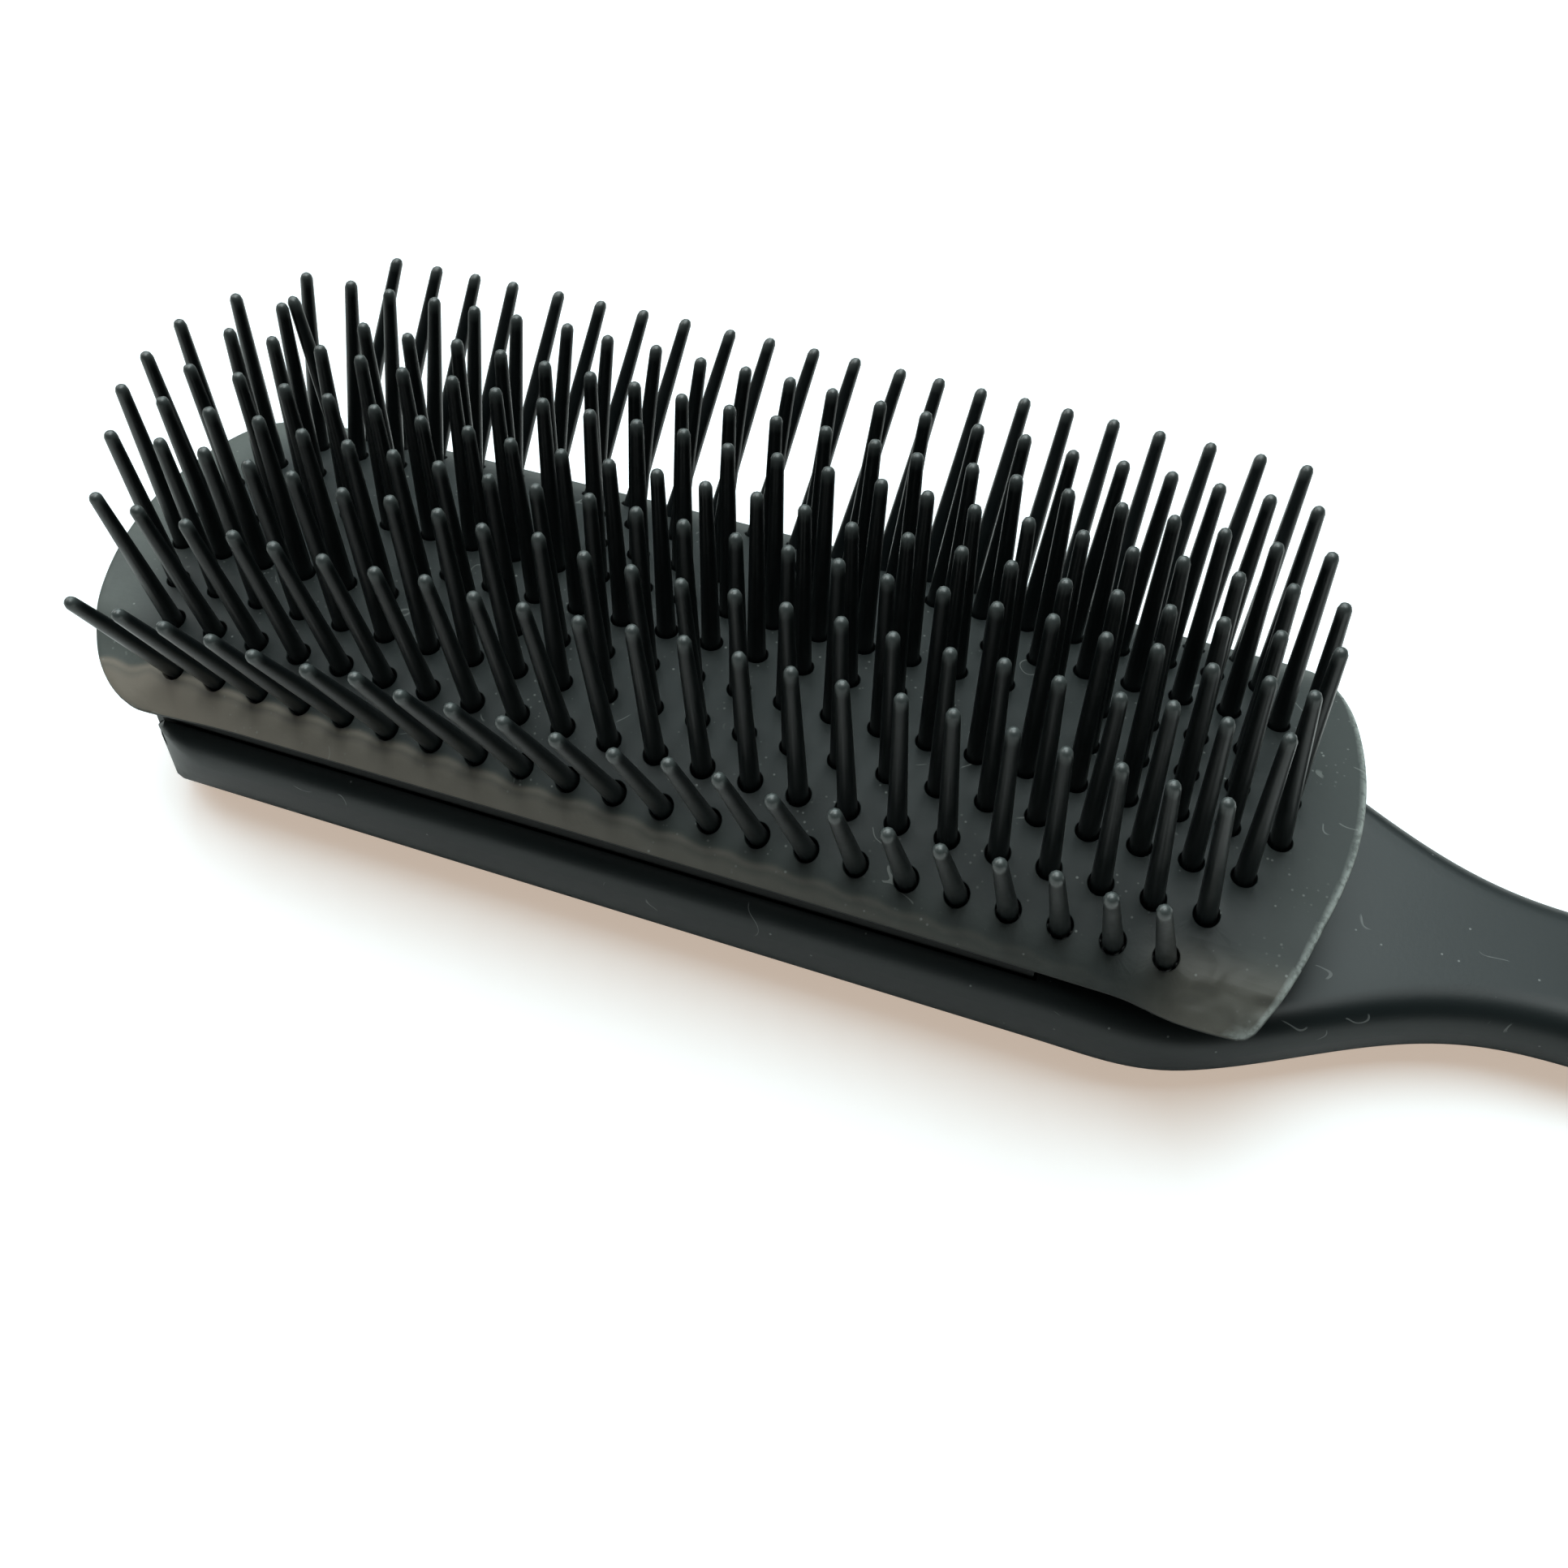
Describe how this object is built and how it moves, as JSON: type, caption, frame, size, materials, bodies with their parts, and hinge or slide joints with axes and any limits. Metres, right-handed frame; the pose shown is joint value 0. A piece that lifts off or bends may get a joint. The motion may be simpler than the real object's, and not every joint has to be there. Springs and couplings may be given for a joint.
{
  "type": "detangling brush",
  "caption": "Half-round styling brush: plastic handle with a hollow head, arched rubber pad that slides out along two rails, and rows of splayed nylon pins on strips that rock in the pad.",
  "frame": {"origin": "on the flat back of the head, under the middle of the rubber pad, where the brush lies on a table", "axes": "+X along the brush from the pad's free tip to the butt of the grip, +Z from the back up through the pins, +Y across the head"},
  "size_m": [0.2317, 0.056, 0.0422],
  "materials": {
    "handle_plastic": "satin",
    "pad_rubber": "matt, dusty",
    "pin_nylon": "soft gloss"
  },
  "bodies": {
    "handle": {"handle": "handle_plastic"},
    "rubber_pad": {"rubber_pad": "pad_rubber"},
    "pin_row_1": {"pin_row_1": "pin_nylon"},
    "pin_row_2": {"pin_row_2": "pin_nylon"},
    "pin_row_3": {"pin_row_3": "pin_nylon"},
    "pin_row_4": {"pin_row_4": "pin_nylon"},
    "pin_row_5": {"pin_row_5": "pin_nylon"},
    "pin_row_6": {"pin_row_6": "pin_nylon"},
    "pin_row_7": {"pin_row_7": "pin_nylon"},
    "pin_row_8": {"pin_row_8": "pin_nylon"},
    "pin_row_9": {"pin_row_9": "pin_nylon"}
  },
  "joints": [
    {"name": "pad_slide", "type": "slide", "parent": "handle", "child": "rubber_pad", "axis": [-1, 0, 0], "range_m": [0, 0.11]},
    {"name": "row_1_rock", "type": "hinge", "parent": "rubber_pad", "child": "pin_row_1", "pos_m": [0, -0.01704, 0.01704], "axis": [1, 0, 0], "range_deg": [-3, 3], "stiffness_Nm_per_rad": 0.02},
    {"name": "row_2_rock", "type": "hinge", "parent": "rubber_pad", "child": "pin_row_2", "pos_m": [0, -0.01343, 0.01834], "axis": [1, 0, 0], "range_deg": [-3, 3], "stiffness_Nm_per_rad": 0.02},
    {"name": "row_3_rock", "type": "hinge", "parent": "rubber_pad", "child": "pin_row_3", "pos_m": [0, -0.00914, 0.01886], "axis": [1, 0, 0], "range_deg": [-3, 3], "stiffness_Nm_per_rad": 0.02},
    {"name": "row_4_rock", "type": "hinge", "parent": "rubber_pad", "child": "pin_row_4", "pos_m": [0, -0.00458, 0.01916], "axis": [1, 0, 0], "range_deg": [-3, 3], "stiffness_Nm_per_rad": 0.02},
    {"name": "row_5_rock", "type": "hinge", "parent": "rubber_pad", "child": "pin_row_5", "pos_m": [0, 0, 0.01926], "axis": [1, 0, 0], "range_deg": [-3, 3], "stiffness_Nm_per_rad": 0.02},
    {"name": "row_6_rock", "type": "hinge", "parent": "rubber_pad", "child": "pin_row_6", "pos_m": [0, 0.00458, 0.01916], "axis": [1, 0, 0], "range_deg": [-3, 3], "stiffness_Nm_per_rad": 0.02},
    {"name": "row_7_rock", "type": "hinge", "parent": "rubber_pad", "child": "pin_row_7", "pos_m": [0, 0.00914, 0.01886], "axis": [1, 0, 0], "range_deg": [-3, 3], "stiffness_Nm_per_rad": 0.02},
    {"name": "row_8_rock", "type": "hinge", "parent": "rubber_pad", "child": "pin_row_8", "pos_m": [0, 0.01343, 0.01834], "axis": [1, 0, 0], "range_deg": [-3, 3], "stiffness_Nm_per_rad": 0.02},
    {"name": "row_9_rock", "type": "hinge", "parent": "rubber_pad", "child": "pin_row_9", "pos_m": [0, 0.01704, 0.01704], "axis": [1, 0, 0], "range_deg": [-3, 3], "stiffness_Nm_per_rad": 0.02}
  ]
}
